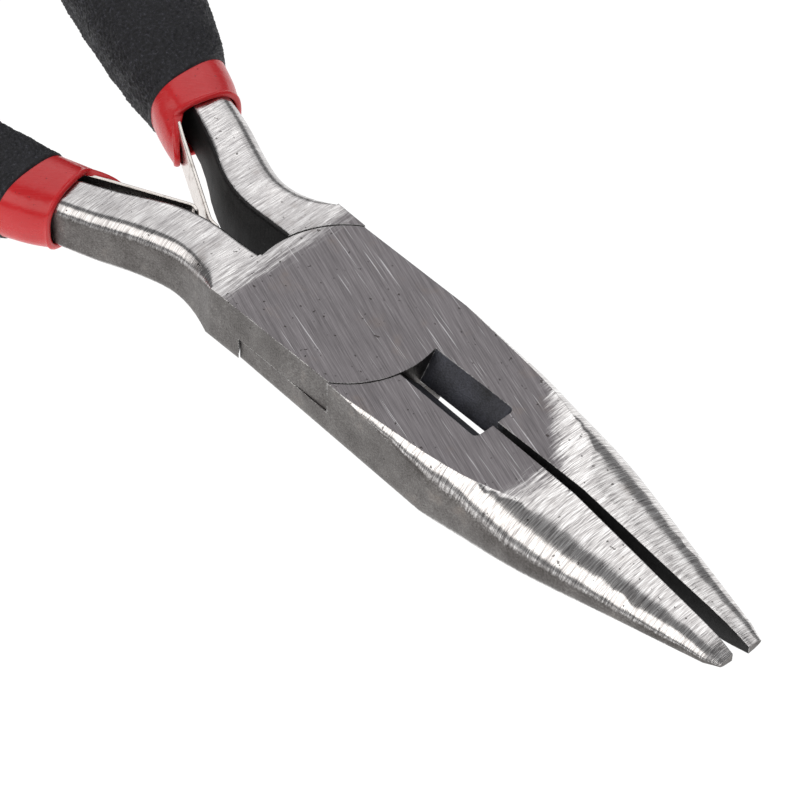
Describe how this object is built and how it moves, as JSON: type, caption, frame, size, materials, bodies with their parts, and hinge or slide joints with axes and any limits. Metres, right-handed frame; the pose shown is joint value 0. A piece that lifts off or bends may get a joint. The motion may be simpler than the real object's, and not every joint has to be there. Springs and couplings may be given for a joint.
{
  "type": "long nose pliers",
  "caption": "Small sprung long nose pliers with a lap joint, a side cutter window, half-round flat-faced jaws and sleeved handles with textured grips.",
  "frame": {"origin": "pivot axis at the back face of the lap joint, on the head of the rivet", "axes": "+X along the closed jaws to their tips, +Y to the jaw of half A, +Z out of the ground front face"},
  "size_m": [0.1248, 0.0522, 0.0096],
  "materials": {
    "tool_steel": "drop forged, ground flat on the faces and belt polished on the round jaws and bars",
    "rivet_steel": "turned, plain",
    "spring_steel": "bright nickel plated strip",
    "red_sleeve": "satin soft vinyl",
    "black_grip": "fine granular texture"
  },
  "bodies": {
    "half_a": {"half_a": "tool_steel", "pivot_rivet": "rivet_steel", "sleeve_a": "red_sleeve", "grip_a": "black_grip", "spring_root_a": "spring_steel", "spring_rivet_a": "rivet_steel"},
    "half_b": {"half_b": "tool_steel", "sleeve_b": "red_sleeve", "grip_b": "black_grip", "spring_root_b": "spring_steel", "spring_rivet_b": "rivet_steel"},
    "spring_blade_a": {"spring_blade_a": "spring_steel"},
    "spring_blade_b": {"spring_blade_b": "spring_steel"}
  },
  "joints": [
    {"name": "jaw_pivot", "type": "hinge", "parent": "half_a", "child": "half_b", "pos_m": [0, 0, 0], "axis": [0, 0, -1], "range_deg": [-1.8, 14], "stiffness_Nm_per_rad": 0.4},
    {"name": "spring_a_flex", "type": "hinge", "parent": "half_a", "child": "spring_blade_a", "pos_m": [-0.02533, -0.00435, 0.0037], "axis": [0, 0, 1], "range_deg": [-1.2, 8.6]},
    {"name": "spring_b_flex", "type": "hinge", "parent": "half_b", "child": "spring_blade_b", "pos_m": [-0.02534, 0.004, 0.0037], "axis": [0, 0, -1], "range_deg": [-2.5, 18.5]}
  ],
  "couplings": [
    {"joint": "spring_a_flex", "follows": "jaw_pivot", "ratio": 0.6},
    {"joint": "spring_b_flex", "follows": "jaw_pivot", "ratio": 1.3}
  ]
}
